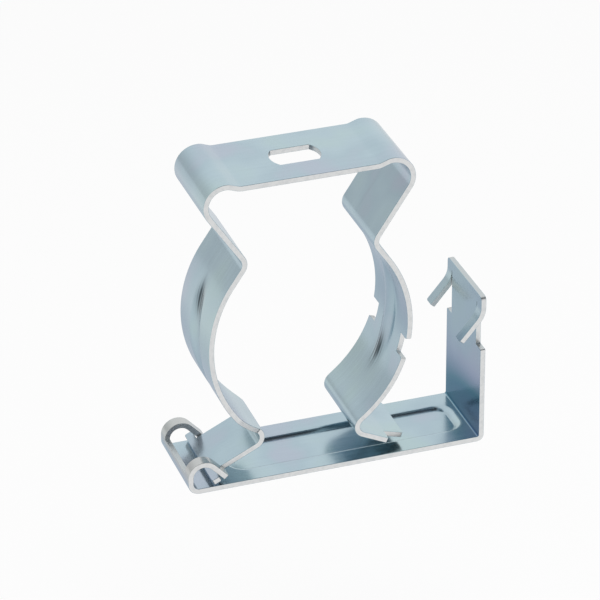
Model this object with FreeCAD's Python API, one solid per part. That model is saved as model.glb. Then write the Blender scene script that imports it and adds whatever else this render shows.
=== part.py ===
import FreeCAD, Part
import math
import os

# Tube clip: a spring strip folded to an omega that grips a tube, with a locking bar hinged on its foot.
# Millimetres. X runs along the folded strip, Y across it, Z up. The origin is the middle of the fixing
# slot, on the top face of the base plate. Bend radii are those of the inside of the bend.

# Sheet
STRIP_WIDTH = 20.0
GAUGE = 1.2

# Fixing slot in the base plate: a round hole between two flats, so that a 6 mm screw can shift along X
SLOT_WIDTH = 7.0
SLOT_LENGTH = 11.0

# Tube and grip: each free arc is the tube's size, and is set past the middle so that it springs inward
TUBE_RADIUS = 27.0
TUBE_STANDOFF = 11.1
GRIP_INSET = 5.5
GRIP_TOP_ANGLE = 34.7
GRIP_LOW_ANGLE = 49.8

# Shoulders, and the joggle that lifts them above the base plate
SHOULDER_SPAN = 52.7
SHOULDER_RADIUS = 3.75
SHOULDER_LIFT = 0.83
JOGGLE_RUN = 2.4
JOGGLE_RADIUS = 2.4
JOGGLE_LAND = 0.1

# Necks above and below the grip
UPPER_NECK_RUN = 5.7
UPPER_NECK_RADIUS = 1.9
LOWER_NECK_RUN = 5.1
LOWER_NECK_RADIUS = 1.6

# Feet: one ends in a tongue over the bar, the other in the T-head that the bar hangs on
FOOT_ANGLE = 25.5
FOOT_WIDE_RUN = 9.8
NARROW_WIDTH = 13.6
TONGUE_ANGLE = 16.0
TONGUE_LENGTH = 4.7
TONGUE_RADIUS = 2.0
TAPER_ANGLE = 37.8
HEAD_REACH = 14.5
HEAD_LENGTH = 1.9

# Latch notches in the side edges of the free arm
LATCH_ANGLE = 13.6
LATCH_LENGTH = 4.5
LATCH_DEPTH = 3.2

# Stiffening bead pressed inward along each grip arc, fading out at both ends
BEAD_WIDTH = 6.7
BEAD_HEIGHT = 1.0
BEAD_ANGLE = -3.0
BEAD_HALF_SPREAD = 28.0

# Locking bar: lip and hooked ears round the T-head
HINGE_PLAY = 0.13
LIP_REACH = 5.8
LIP_HEIGHT = 4.1
LIP_RADIUS = 1.3
EAR_CLEARANCE = 0.4
EAR_RADIUS = 2.35
EAR_SLOPE = 47.0
EAR_TIP_LIFT = 0.25

# Locking bar: pressed panel in the plate
PANEL_WIDTH = 12.0
PANEL_DEPTH = 0.8
PANEL_CORNER = 4.0
PANEL_DRAFT = 45.0
PANEL_END_RUN = 2.2
PANEL_HINGE_MARGIN = 4.5
PANEL_UPRIGHT_MARGIN = 1.8

# Locking bar: upright with two barbs that reach for the latch notches
UPRIGHT_GAP = 15.6
UPRIGHT_RADIUS = 0.4
UPRIGHT_CORNER = 1.0
BARB_PLAY = 0.6
BARB_SLIT = 0.2
BARB_ANGLE = 49.7
BARB_LENGTH = 7.7
BARB_RADIUS = 5.0
BARB_TIP_DROP = 1.1
BARB_ROOT_RISE = 8.0
SHEAR_DROP = 2.5
UPRIGHT_TOP_RISE = 10.3

# Sizes that follow
HALF_WIDTH = STRIP_WIDTH / 2
HALF_GAUGE = GAUGE / 2
PLATE_Z = -HALF_GAUGE
GRIP_RADIUS = TUBE_RADIUS + HALF_GAUGE
GRIP_X = -GRIP_INSET
GRIP_Z = PLATE_Z - TUBE_STANDOFF - TUBE_RADIUS
BARB_WIDTH = LATCH_DEPTH - BARB_PLAY
SHORTEST_RUN = 1e-6


def polar(angle, length=1.0):
    """Step of the given length at an angle in degrees from +X towards +Z, as an (x, z) pair."""
    return length * math.cos(math.radians(angle)), length * math.sin(math.radians(angle))


def moved(point, step):
    """Sum of an (x, z) point and an (x, z) step."""
    return point[0] + step[0], point[1] + step[1]


class Straight:
    """Straight run of a strip's mid-line, which begins at a known arc length."""

    def __init__(self, begin, start, end):
        self.begin = begin
        self.start = start
        self.length = math.dist(start, end)
        self.along = ((end[0] - start[0]) / self.length, (end[1] - start[1]) / self.length)

    def point(self, s, offset):
        """Point at arc length s, moved to the left of travel by offset."""
        x = self.start[0] + s * self.along[0] - offset * self.along[1]
        z = self.start[1] + s * self.along[1] + offset * self.along[0]
        return FreeCAD.Vector(x, 0, z)

    def edge(self, s0, s1, offset):
        """Edge of the run from s0 to s1, offset to the left."""
        return Part.makeLine(self.point(s0, offset), self.point(s1, offset))


class Bend:
    """Round run of a strip's mid-line; a positive turn is anticlockwise, in radians."""

    def __init__(self, begin, centre, radius, start_angle, turn):
        self.begin = begin
        self.centre = centre
        self.radius = radius
        self.start_angle = start_angle
        self.side = math.copysign(1.0, turn)
        self.length = radius * abs(turn)

    def point(self, s, offset):
        """Point at arc length s, moved to the left of travel by offset."""
        angle = self.start_angle + self.side * s / self.radius
        reach = self.radius - self.side * offset
        x, z = moved(self.centre, polar(math.degrees(angle), reach))
        return FreeCAD.Vector(x, 0, z)

    def edge(self, s0, s1, offset):
        """Edge of the bend from s0 to s1, offset to the left."""
        ends = [self.point(s, offset) for s in (s0, (s0 + s1) / 2, s1)]
        return Part.Arc(*ends).toShape()


class Strip:
    """Folded strip: its mid-line is straight between corners, and each inner corner has a bend."""

    def __init__(self, corners, inside_radii):
        self.runs = []
        self.bends = []
        here = corners[0]
        for before, corner, after, inside in zip(corners, corners[1:], corners[2:], inside_radii):
            heading = math.atan2(corner[1] - before[1], corner[0] - before[0])
            leaving = math.atan2(after[1] - corner[1], after[0] - corner[0])
            turn = math.remainder(leaving - heading, math.tau)
            radius = inside + HALF_GAUGE
            tangent = radius * math.tan(abs(turn) / 2)
            start = moved(corner, polar(math.degrees(heading), -tangent))
            to_start = heading - math.copysign(math.pi / 2, turn)
            centre = moved(start, polar(math.degrees(to_start), -radius))
            self.runs.append(Straight(self.length, here, start))
            self.bends.append(Bend(self.length, centre, radius, to_start, turn))
            self.runs.append(self.bends[-1])
            here = moved(corner, polar(math.degrees(leaving), tangent))
        self.runs.append(Straight(self.length, here, corners[-1]))

    @property
    def length(self):
        """Length of the mid-line so far."""
        return sum(run.length for run in self.runs)

    def band(self, s0, s1, y0, y1, left=HALF_GAUGE, right=HALF_GAUGE):
        """Solid of the strip from arc length s0 to s1 and from y0 to y1, with its thickness to each side."""
        spans = []
        for run in self.runs:
            start = max(s0 - run.begin, 0.0)
            end = min(s1 - run.begin, run.length)
            if end - start > SHORTEST_RUN:
                spans.append((run, start, end))
        edges = [run.edge(start, end, offset) for run, start, end in spans for offset in (left, -right)]
        first, first_start, _ = spans[0]
        last, _, last_end = spans[-1]
        for run, s in ((first, first_start), (last, last_end)):
            edges.append(Part.makeLine(run.point(s, left), run.point(s, -right)))
        face = Part.Face(Part.Wire(Part.__sortEdges__(edges)))
        solid = face.extrude(FreeCAD.Vector(0, y1 - y0, 0))
        solid.translate(FreeCAD.Vector(0, y0, 0))
        return solid

    def wide(self, s0, s1, width):
        """Solid of the strip from s0 to s1, centred across Y."""
        return self.band(s0, s1, -width / 2, width / 2)

    def edges_of(self, s0, s1, inner):
        """Two solids along the side edges of the strip, from a distance off the middle to the edge."""
        return [self.band(s0, s1, inner, HALF_WIDTH), self.band(s0, s1, -HALF_WIDTH, -inner)]


def joined(solids):
    """One solid of several that share faces, with the seams between flush faces taken out."""
    return solids[0].multiFuse(solids[1:]).removeSplitter()


def grip_point(angle):
    """Point of the grip arc at an angle in degrees above the level of its centre."""
    return moved((GRIP_X, GRIP_Z), polar(angle, GRIP_RADIUS))


# Corners of one half of the clip's mid-line
UPPER_NECK = moved(grip_point(GRIP_TOP_ANGLE), polar(GRIP_TOP_ANGLE + 90, UPPER_NECK_RUN))
LOWER_NECK = moved(grip_point(-GRIP_LOW_ANGLE), polar(-GRIP_LOW_ANGLE - 90, LOWER_NECK_RUN))
GRIP_HALF_SPREAD = (GRIP_TOP_ANGLE + GRIP_LOW_ANGLE) / 2
GRIP_MIDDLE_ANGLE = (GRIP_TOP_ANGLE - GRIP_LOW_ANGLE) / 2
GRIP_CORNER = moved((GRIP_X, GRIP_Z),
                    polar(GRIP_MIDDLE_ANGLE, GRIP_RADIUS / math.cos(math.radians(GRIP_HALF_SPREAD))))
SHOULDER = (SHOULDER_SPAN / 2, PLATE_Z + SHOULDER_LIFT)


def joggle_corners():
    """The two corners of the joggle, placed so that it ends where the shoulder's bend begins."""
    leg = math.atan2(UPPER_NECK[1] - SHOULDER[1], UPPER_NECK[0] - SHOULDER[0])
    shoulder_start = SHOULDER[0] - (SHOULDER_RADIUS + HALF_GAUGE) * math.tan(abs(leg) / 2)
    slope = math.atan2(SHOULDER_LIFT, JOGGLE_RUN)
    high = shoulder_start - JOGGLE_LAND - (JOGGLE_RADIUS + HALF_GAUGE) * math.tan(slope / 2)
    return (high - JOGGLE_RUN, PLATE_Z), (high, SHOULDER[1])


def clip_half(foot, foot_radii):
    """Mid-line of one half of the clip, drawn on the +X side, with the corners and bends of its foot."""
    low, high = joggle_corners()
    corners = [(0.0, PLATE_Z), low, high, SHOULDER, UPPER_NECK, GRIP_CORNER, LOWER_NECK, *foot]
    radii = [JOGGLE_RADIUS, JOGGLE_RADIUS, SHOULDER_RADIUS, UPPER_NECK_RADIUS, TUBE_RADIUS, LOWER_NECK_RADIUS]
    return Strip(corners, radii + foot_radii)


def grip_length(half, angle):
    """Arc length along a half of the clip to a grip point; the grip is the widest bend."""
    grip = max(half.bends, key=lambda bend: bend.radius)
    return grip.begin + math.radians(GRIP_TOP_ANGLE - angle) * GRIP_RADIUS


# Hinge: the T-head's middle, and the levels of the bar that follow from it
HINGE = moved((-LOWER_NECK[0], LOWER_NECK[1]), polar(180 + FOOT_ANGLE, HEAD_REACH))
HEAD_SWING = math.hypot(HEAD_LENGTH, GAUGE) / 2
BAR_Z = HINGE[1] - HEAD_SWING - HINGE_PLAY - HALF_GAUGE
BAR_TOP = BAR_Z + HALF_GAUGE
BAR_UNDER = BAR_Z - HALF_GAUGE
LIP_X = HINGE[0] - LIP_REACH
UPRIGHT_X = GRIP_X + GRIP_RADIUS + HALF_GAUGE + UPRIGHT_GAP + HALF_GAUGE
TIP_Z = grip_point(-LATCH_ANGLE)[1] - BARB_TIP_DROP
TONGUE = moved(LOWER_NECK, polar(-FOOT_ANGLE, FOOT_WIDE_RUN))
TOE = moved(TONGUE, polar(-TONGUE_ANGLE, TONGUE_LENGTH))
HEEL = moved(LOWER_NECK, polar(-FOOT_ANGLE, HEAD_REACH + HEAD_LENGTH / 2))


def bead_tools(half):
    """Ridge to add inside one grip arc and groove to cut outside it.

    Both lie round one ring that is flatter than the grip arc, so the bead is deepest in its middle
    and runs out level with the strip at both ends.
    """
    section_radius = ((BEAD_WIDTH / 2) ** 2 + BEAD_HEIGHT ** 2) / (2 * BEAD_HEIGHT)
    ring_reach = TUBE_RADIUS - BEAD_HEIGHT + section_radius
    end_reach = ring_reach + BEAD_HEIGHT
    spread = math.cos(math.radians(BEAD_HALF_SPREAD))
    shift = (end_reach ** 2 - ring_reach ** 2) / (2 * (ring_reach - end_reach * spread))
    centre = moved((GRIP_X, GRIP_Z), polar(BEAD_ANGLE, -shift))
    middle = FreeCAD.Vector(centre[0], 0, centre[1])
    ends = [grip_length(half, BEAD_ANGLE + side * BEAD_HALF_SPREAD) for side in (1, -1)]
    solids = []
    for radius, inward, outward in ((section_radius, BEAD_HEIGHT + GAUGE, HALF_GAUGE),
                                    (section_radius - GAUGE, GAUGE, GAUGE + BEAD_HEIGHT)):
        ring = Part.makeTorus(ring_reach + shift, radius, middle, FreeCAD.Vector(0, 1, 0))
        zone = half.band(*ends, -BEAD_WIDTH, BEAD_WIDTH, outward, inward)
        solids.append(ring.common(zone))
    return solids


def with_bead(arm, half):
    """Arm with its stiffening bead pressed in."""
    ridge, groove = bead_tools(half)
    return arm.fuse(ridge).cut(groove)


def latch_arm():
    """Half with the latch notches and the tongue, from the middle of the base plate to its toe."""
    half = clip_half([TONGUE, TOE], [TONGUE_RADIUS])
    notch = grip_length(half, -LATCH_ANGLE)
    notch_start = notch - LATCH_LENGTH / 2
    notch_end = notch + LATCH_LENGTH / 2
    tongue = half.length - TONGUE_LENGTH
    arm = joined([half.wide(0, notch_start, STRIP_WIDTH),
                  half.wide(notch_start, notch_end, STRIP_WIDTH - 2 * LATCH_DEPTH),
                  half.wide(notch_end, tongue, STRIP_WIDTH),
                  half.wide(tongue, half.length, NARROW_WIDTH)])
    return with_bead(arm, half)


def taper_cutters(begin, end):
    """Two wedges that take a strip from its full width at one point down to the narrow width at another."""
    along = end - begin
    normal = FreeCAD.Vector(-along.z, 0, along.x).normalize() * 3 * GAUGE
    full, narrow = HALF_WIDTH, NARROW_WIDTH / 2
    beyond = full + GAUGE
    start = end - along * ((beyond - narrow) / (full - narrow))
    wedges = []
    for side in (1, -1):
        outline = [(end, narrow), (end, beyond), (start, beyond), (end, narrow)]
        points = [point + FreeCAD.Vector(0, side * y, 0) - normal for point, y in outline]
        wedges.append(Part.Face(Part.makePolygon(points)).extrude(normal * 2))
    return wedges


def hinge_arm():
    """Half with the tapered arm, the narrow foot and the T-head, drawn on +X and mirrored to -X."""
    half = clip_half([HEEL], [])
    taper = grip_length(half, -TAPER_ANGLE)
    grip = max(half.bends, key=lambda bend: bend.radius)
    neck = half.bends[-1]
    head = half.length - HEAD_LENGTH
    arm = joined([half.wide(0, neck.begin, STRIP_WIDTH),
                  half.wide(neck.begin, head, NARROW_WIDTH),
                  half.wide(head, half.length, STRIP_WIDTH)])
    for wedge in taper_cutters(grip.point(taper - grip.begin, 0), neck.point(0, 0)):
        arm = arm.cut(wedge)
    return with_bead(arm, half).mirror(FreeCAD.Vector(0, 0, 0), FreeCAD.Vector(1, 0, 0))


def rounded_outline(x0, x1, half_width, radius, z):
    """Closed wire of a level rectangle, centred across Y, with round corners."""
    left, right, side = x0 + radius, x1 - radius, half_width - radius
    arcs = []
    for x, y, angle in ((right, side, 0), (left, side, 90), (left, -side, 180), (right, -side, 270)):
        centre = FreeCAD.Vector(x, y, z)
        arcs.append(Part.makeCircle(radius, centre, FreeCAD.Vector(0, 0, 1), angle, angle + 90))
    edges = []
    for arc, following in zip(arcs, arcs[1:] + arcs[:1]):
        edges.append(arc)
        start, end = arc.Vertexes[-1].Point, following.Vertexes[0].Point
        if start.distanceToPoint(end) > SHORTEST_RUN:
            edges.append(Part.makeLine(start, end))
    return Part.Wire(edges)


def fixing_slot():
    """Cutter for the slot through the base plate: a round bar between two flats."""
    base = FreeCAD.Vector(0, 0, -2 * GAUGE)
    corner = base - FreeCAD.Vector(SLOT_LENGTH / 2, SLOT_WIDTH / 2, 0)
    flats = Part.makeBox(SLOT_LENGTH, SLOT_WIDTH, 3 * GAUGE, corner)
    return Part.makeCylinder(SLOT_LENGTH / 2, 3 * GAUGE, base).common(flats)


def spring_clip():
    """The folded spring strip with its slot, notches, beads, tongue and T-head."""
    return joined([latch_arm(), hinge_arm()]).cut(fixing_slot())


def panel_step(grow, top):
    """Drafted block of the pressed panel's depth, with its upper outline at the given level."""
    x0 = HINGE[0] + PANEL_HINGE_MARGIN - grow
    x1 = UPRIGHT_X - PANEL_UPRIGHT_MARGIN + grow
    half = PANEL_WIDTH / 2 + grow
    corner = PANEL_CORNER + grow
    slant = PANEL_DEPTH / math.tan(math.radians(PANEL_DRAFT))
    upper = rounded_outline(x0, x1, half, corner, top)
    lower = rounded_outline(x0 + slant, x1 - PANEL_END_RUN, half - slant, corner - slant, top - PANEL_DEPTH)
    return Part.makeLoft([upper, lower], True, True)


def barbs():
    """Two tongues sheared out of the upright's sides and bent in towards the latch notches."""
    tip = (UPRIGHT_X - BARB_LENGTH * math.cos(math.radians(BARB_ANGLE)), TIP_Z)
    bend = moved(tip, polar(BARB_ANGLE, BARB_LENGTH))
    strip = Strip([(UPRIGHT_X, TIP_Z + BARB_ROOT_RISE), bend, tip], [BARB_RADIUS])
    return strip.edges_of(0, strip.length, HALF_WIDTH - BARB_WIDTH)


def bar_strip():
    """Mid-line of the bar, from the upright's top along the plate and round to the ear's tip."""
    standoff = HEAD_SWING + HINGE_PLAY + HALF_GAUGE
    slope = math.radians(EAR_SLOPE)
    hook = (LIP_X, HINGE[1] + (standoff + LIP_REACH * math.sin(slope)) / math.cos(slope))
    tip = (HINGE[0] + (standoff - EAR_TIP_LIFT * math.cos(slope)) / math.sin(slope), HINGE[1] + EAR_TIP_LIFT)
    corners = [(UPRIGHT_X, TIP_Z + UPRIGHT_TOP_RISE), (UPRIGHT_X, BAR_Z), (LIP_X, BAR_Z), hook, tip]
    return Strip(corners, [UPRIGHT_RADIUS, LIP_RADIUS, EAR_RADIUS])


def locking_bar():
    """The folded bar with its upright, barbs, pressed panel, lip and ears."""
    strip = bar_strip()
    root = UPRIGHT_TOP_RISE - BARB_ROOT_RISE
    shear = UPRIGHT_TOP_RISE + SHEAR_DROP
    ear = strip.bends[-1]
    lip = ear.begin + BAR_UNDER + LIP_HEIGHT - ear.point(0, 0).z
    waist = STRIP_WIDTH - 2 * (BARB_WIDTH + BARB_SLIT)
    head = strip.wide(0, root, STRIP_WIDTH)
    top = [edge for edge in head.Edges if edge.CenterOfMass.z > TIP_Z + UPRIGHT_TOP_RISE - HALF_GAUGE]
    corners = [edge for edge in top if abs(edge.CenterOfMass.y) > HALF_WIDTH - HALF_GAUGE]
    head = head.makeFillet(UPRIGHT_CORNER, corners)
    bar = joined([strip.wide(shear, lip, STRIP_WIDTH),
                  strip.wide(root, shear, waist),
                  head,
                  *strip.edges_of(lip, strip.length, NARROW_WIDTH / 2 + EAR_CLEARANCE),
                  *barbs()])
    shell = GAUGE * math.tan(math.radians(PANEL_DRAFT) / 2)
    return joined([bar.cut(panel_step(0.0, BAR_TOP)), panel_step(shell, BAR_UNDER)])


os.makedirs("parts", exist_ok=True)
for name, build in (("spring_clip", spring_clip), ("locking_bar", locking_bar)):
    shape = build()
    shape.exportStep(f"parts/{name}.step")
    print(name, "solids", len(shape.Solids), "valid", shape.isValid(), f"volume {shape.Volume:.1f} mm3")
print(f"hinge axis at x {HINGE[0]:.4f} z {HINGE[1]:.4f}, grip centre at z {GRIP_Z:.4f}")
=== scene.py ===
"""Tube clip with a hinged locking bar: the two dressed pieces, the studio and the camera.

Sizes are millimetres in the part's own frame, whose origin is the middle of the fixing slot on the base
plate's top face. They become metres only when a mesh is made.
"""
import logging
import math
from collections.abc import Callable
from dataclasses import dataclass, field
from enum import Enum, IntEnum
from functools import partial

import bpy
import numpy as np
from bpy.types import Material, Node, NodeSocket, NodeTree, Object, World
from mathutils import Matrix, Vector


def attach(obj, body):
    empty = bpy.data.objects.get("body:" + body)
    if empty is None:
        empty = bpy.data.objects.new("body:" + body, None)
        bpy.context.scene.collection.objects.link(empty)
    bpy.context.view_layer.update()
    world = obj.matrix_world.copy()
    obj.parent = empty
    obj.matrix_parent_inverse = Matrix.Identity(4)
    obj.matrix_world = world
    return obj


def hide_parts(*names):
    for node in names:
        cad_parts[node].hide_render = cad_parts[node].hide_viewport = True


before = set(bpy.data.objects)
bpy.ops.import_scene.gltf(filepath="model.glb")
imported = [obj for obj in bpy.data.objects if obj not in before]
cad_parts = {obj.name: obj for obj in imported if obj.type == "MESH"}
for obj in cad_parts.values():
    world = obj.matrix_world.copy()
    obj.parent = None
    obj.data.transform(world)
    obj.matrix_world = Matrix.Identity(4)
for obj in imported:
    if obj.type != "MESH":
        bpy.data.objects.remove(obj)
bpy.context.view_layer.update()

LOG = logging.getLogger("tube_clip")
# Point attribute: a painted dark reflection at the upright's root, wear, and painted bead-end reflections.
WEAR_AND_REFLECTIONS = "patina"
# A millimetre in metres.
MM = 0.001
# Points nearer than this are one point, and rows nearer than this are one row.
WELD = 1e-3
SAME_ROW = 1e-4
# Least distance from a cut corner to the next row, and the share of the rest where the row after it lies.
FIRST_ROW = 0.2
NEXT_ROW_SHARE = 0.42
# Sockets of a Mix node that mixes colours.
MIX_A, MIX_B = 6, 7
# Types: an array, a span or a place, a direction or a point, and a ramp's places with their hex colours.
Array = np.ndarray
Pair = tuple[float, float]
Triple = tuple[float, float, float]
Stops = tuple[tuple[float, str], ...]


class Side(Enum):
    """Side of the strip's middle line, as the sign of Y."""

    NEAR = -1.0
    FAR = 1.0


class CornerShape(Enum):
    """How the blank's outline turns in at the end of a side band."""

    ROUND = "round"
    STRAIGHT = "straight"


class ClipRun(IntEnum):
    """Runs of the clip's mid-line that its build asks for, counted from the T-head."""

    HINGE_LEG = 2
    HINGE_GRIP = 3
    PLATE = 12
    JOGGLE = 13
    LATCH_GRIP = 21


class BarRun(IntEnum):
    """Runs of the bar's mid-line that its build asks for, counted from the upright's top."""

    PLATE = 2
    LIP_BEND = 3
    LIP = 4
    EAR = 5


def polar(angle: float, length: float = 1.0) -> Array:
    """Step of a length at an angle in degrees from +X towards +Z, as (x, z)."""
    return length * np.array([math.cos(math.radians(angle)), math.sin(math.radians(angle))])


def linear(code: str) -> tuple[float, float, float, float]:
    """Turns an sRGB hex colour into linear light.

    Args:
        code: colour such as "#B6CAD2".

    Returns:
        Linear red, green and blue, and an alpha of one.
    """
    srgb = np.array([int(code[i:i + 2], 16) for i in (1, 3, 5)]) / 255
    light = np.where(srgb <= 0.04045, srgb / 12.92, ((srgb + 0.055) / 1.055) ** 2.4)
    return (*light.tolist(), 1.0)


def add_node(tree: NodeTree, kind: str, settings: dict | None = None, inputs: dict | None = None,
             stops: Stops = ()) -> Node:
    """Adds a node with its settings, values and links.

    Args:
        tree: node tree that takes the node.
        kind: Blender's type name of the node, less the word ShaderNode.
        settings: properties of the node by name.
        inputs: input sockets by name or number, each with a value, with another node's output socket, or
            with another node, whose first output in use is meant.
        stops: a colour ramp's places from 0 to 1, each with an sRGB hex colour.

    Returns:
        The new node.
    """
    node = tree.nodes.new(f"ShaderNode{kind}")
    for name, value in (settings or {}).items():
        setattr(node, name, value)
    for name, value in (inputs or {}).items():
        if isinstance(value, Node):
            value = next(socket for socket in value.outputs if socket.enabled)
        if isinstance(value, NodeSocket):
            tree.links.new(value, node.inputs[name])
        else:
            node.inputs[name].default_value = value
    for place, _ in stops[2:]:
        node.color_ramp.elements.new(place)
    if stops:
        for element, (place, code) in zip(node.color_ramp.elements, sorted(stops)):
            element.position = place
            element.color = linear(code)
    return node


def node_adder(owner: Material | World) -> Callable[..., Node]:
    """Clears the nodes of a material or a world.

    Args:
        owner: what the nodes belong to.

    Returns:
        The function add_node for its empty tree.
    """
    owner.use_nodes = True
    owner.node_tree.nodes.clear()
    return partial(add_node, owner.node_tree)


def ease(low: float, high: float, value: Array) -> Array:
    """Smooth step from 0 at low to 1 at high: 3t^2 - 2t^3."""
    t = np.clip((value - low) / (high - low), 0, 1)
    return t * t * (3 - 2 * t)


def rounded_distance(x: Array, y: Array, span: Pair, half_width: float, corner: float) -> Array:
    """Distance to the outline of a rectangle with round corners, below nought inside it.

    Args:
        x: places of the rows along the rectangle.
        y: places across it, as rows by columns.
        span: where it begins and ends along x.
        half_width: half its width across.
        corner: radius of its corners.

    Returns:
        Signed distances, as rows by columns.
    """
    along = np.abs(x - sum(span) / 2)[:, None] - (span[1] - span[0]) / 2 + corner + 0 * y
    over = np.abs(y) - half_width + corner
    outside = np.hypot(np.maximum(along, 0), np.maximum(over, 0))
    return outside + np.minimum(np.maximum(along, over), 0) - corner


@dataclass
class FoldLine:
    """Mid-line of a folded strip: straight between corners, with a round bend at each inner corner.

    Every run has a start, a heading h and a curvature k that is nought on straight runs. A point at
    arc length t along a run lies at the end of the chord t sin(kt/2) / (kt/2) under h + kt/2.
    """

    corners: Array
    inside_radii: Array
    gauge: float
    lengths: Array = field(init=False)
    headings: Array = field(init=False)
    curvatures: Array = field(init=False)
    origins: Array = field(init=False)
    begins: Array = field(init=False)

    def __post_init__(self) -> None:
        """Works out start, heading, curvature and length of all runs at once."""
        steps = np.diff(self.corners, axis=0)
        reach = np.hypot(steps[:, 0], steps[:, 1])
        along = steps / reach[:, None]
        heading = np.arctan2(steps[:, 1], steps[:, 0])
        turn = (np.diff(heading) + np.pi) % (2 * np.pi) - np.pi
        radius = self.inside_radii + self.gauge / 2
        tangent = radius * np.tan(np.abs(turn) / 2)
        before = np.insert(tangent, 0, 0.0)
        count = 2 * len(steps) - 1
        self.lengths = np.empty(count)
        self.lengths[0::2] = reach - before - np.append(tangent, 0.0)
        self.lengths[1::2] = radius * np.abs(turn)
        self.headings = np.repeat(heading, 2)[:count]
        self.curvatures = np.zeros(count)
        self.curvatures[1::2] = np.sign(turn) / radius
        self.origins = np.empty((count, 2))
        self.origins[0::2] = self.corners[:-1] + along * before[:, None]
        self.origins[1::2] = self.corners[1:-1] - along[:-1] * tangent[:, None]
        self.begins = np.insert(np.cumsum(self.lengths), 0, 0.0)[:-1]

    @property
    def length(self) -> float:
        """Length of the whole mid-line."""
        return float(self.lengths.sum())

    def run_at(self, s: Array) -> Array:
        """Number of the run at each arc length."""
        return np.clip(np.searchsorted(self.begins, s, side="right") - 1, 0, len(self.begins) - 1)

    def at(self, s: Array) -> tuple[Array, Array]:
        """Points and left-hand normals of the mid-line.

        Args:
            s: arc lengths.

        Returns:
            Two arrays of (x, z): the points and the unit normals.
        """
        run = self.run_at(s)
        t = s - self.begins[run]
        half = self.curvatures[run] * t / 2
        chord = t * np.sinc(half / np.pi)
        angle = self.headings[run] + half
        points = self.origins[run] + chord[:, None] * np.stack([np.cos(angle), np.sin(angle)], axis=1)
        facing = angle + half
        return points, np.stack([-np.sin(facing), np.cos(facing)], axis=1)

    def rows(self, step: float, turn_step: float, marks: Array) -> Array:
        """Arc lengths of the grid's rows: even between marks and run ends, and closer in bends.

        Args:
            step: longest distance between rows.
            turn_step: largest turn between rows, in degrees.
            marks: arc lengths that have to be rows.

        Returns:
            Rising arc lengths from the start to the end of the line.
        """
        knots = np.unique(np.round(np.concatenate([self.begins, [self.length], marks]), 6))
        knots = knots[(knots >= 0) & (knots <= self.length + SAME_ROW)]
        knots = knots[np.append(True, np.diff(knots) > SAME_ROW)]
        gaps = np.diff(knots)
        bending = np.abs(self.curvatures[self.run_at(knots[:-1] + gaps / 2)])
        counts = np.ceil(np.maximum(gaps / step, gaps * bending / math.radians(turn_step))).astype(int)
        spans = [np.linspace(a, b, n, endpoint=False) for a, b, n in zip(knots[:-1], knots[1:], counts)]
        return np.append(np.concatenate(spans), knots[-1])


@dataclass(frozen=True)
class Zone:
    """Stretch of a strip over which its side band is there, with a corner cut at each end.

    With r = 1 - t / length at a distance t from the end, a round corner eats 1 - sqrt(1 - r^2) of its depth
    off the width, which is a quarter of an ellipse, and a straight one eats r of it, which is a taper.
    """

    start: float
    end: float
    start_corner: Pair = (0.0, 0.0)
    end_corner: Pair = (0.0, 0.0)
    start_shape: CornerShape = CornerShape.ROUND

    def holds(self, s: Array) -> Array:
        """Tells which arc lengths lie inside the zone."""
        return (s > self.start) & (s < self.end)

    def eaten(self, s: Array) -> Array:
        """Width that the two corners take off.

        Args:
            s: arc length of each row.

        Returns:
            Width at each row, nought outside the zone.
        """
        taken = np.zeros_like(s)
        inside = (s >= self.start - WELD) & (s <= self.end + WELD)
        ends = ((s - self.start, self.start_corner, self.start_shape),
                (self.end - s, self.end_corner, CornerShape.ROUND))
        for distance, (length, depth), shape in ends:
            if length > 0:
                r = np.clip(1 - distance / length, 0, 1)
                share = r if shape is CornerShape.STRAIGHT else 1 - np.sqrt(1 - r * r)
                taken += np.where(inside, depth * share, 0.0)
        return taken

    def marks(self) -> Array:
        """Rows that the zone needs: its ends, and a fan round each corner with room for broken edges.

        The first row lies a third of the way round the quarter turn, or at the least distance if that is
        more.

        Returns:
            Arc lengths, in no order.
        """
        fans = []
        for length, _ in (self.start_corner, self.end_corner):
            first = max(1 - math.cos(math.pi / 6), FIRST_ROW / length) if length > 0 else 1.0
            fans.append(length * np.array([0.0, first, first + NEXT_ROW_SHARE * (1 - first), 1.0]))
        return np.concatenate([self.start + fans[0], self.end - fans[1]])


@dataclass
class Patch:
    """Grid of points with its flat chart (arc length, y), the cells that are kept and the patina.

    These are three weights from 0 to 1 at each point: a painted dark reflection at the upright's root,
    wear, and painted dark reflections at the bead ends.
    """

    points: Array
    chart: Array
    keep: Array
    patina: Array


def folded_patch(line: FoldLine, s: Array, y: Array, keep: Array, lift: Array | float = 0.0,
                 patina: tuple[Array | float, ...] = (0.0, 0.0, 0.0)) -> Patch:
    """Folds a flat grid along a mid-line: point(s) + y across + lift along the normal.

    Args:
        line: mid-line to fold along.
        s: arc length of each row.
        y: place across the strip, as rows by columns.
        keep: which steps from row to row are there.
        lift: pressed height along the normal, as rows by columns.
        patina: painted dark reflection at the upright's root, wear, and painted dark
        reflections at the bead ends, each a number or rows by columns.

    Returns:
        The folded patch.
    """
    points, normals = line.at(s)
    flat = points[:, None, :] + normals[:, None, :] * np.broadcast_to(lift, y.shape)[:, :, None]
    folded = np.stack([flat[:, :, 0], y, flat[:, :, 1]], axis=2)
    chart = np.stack([np.broadcast_to(s[:, None], y.shape), y], axis=2)
    cells = np.repeat(keep[:, None], y.shape[1] - 1, axis=1)
    weights = np.stack([np.broadcast_to(weight, y.shape) for weight in patina], axis=2)
    return Patch(folded, chart, cells, weights)


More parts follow.
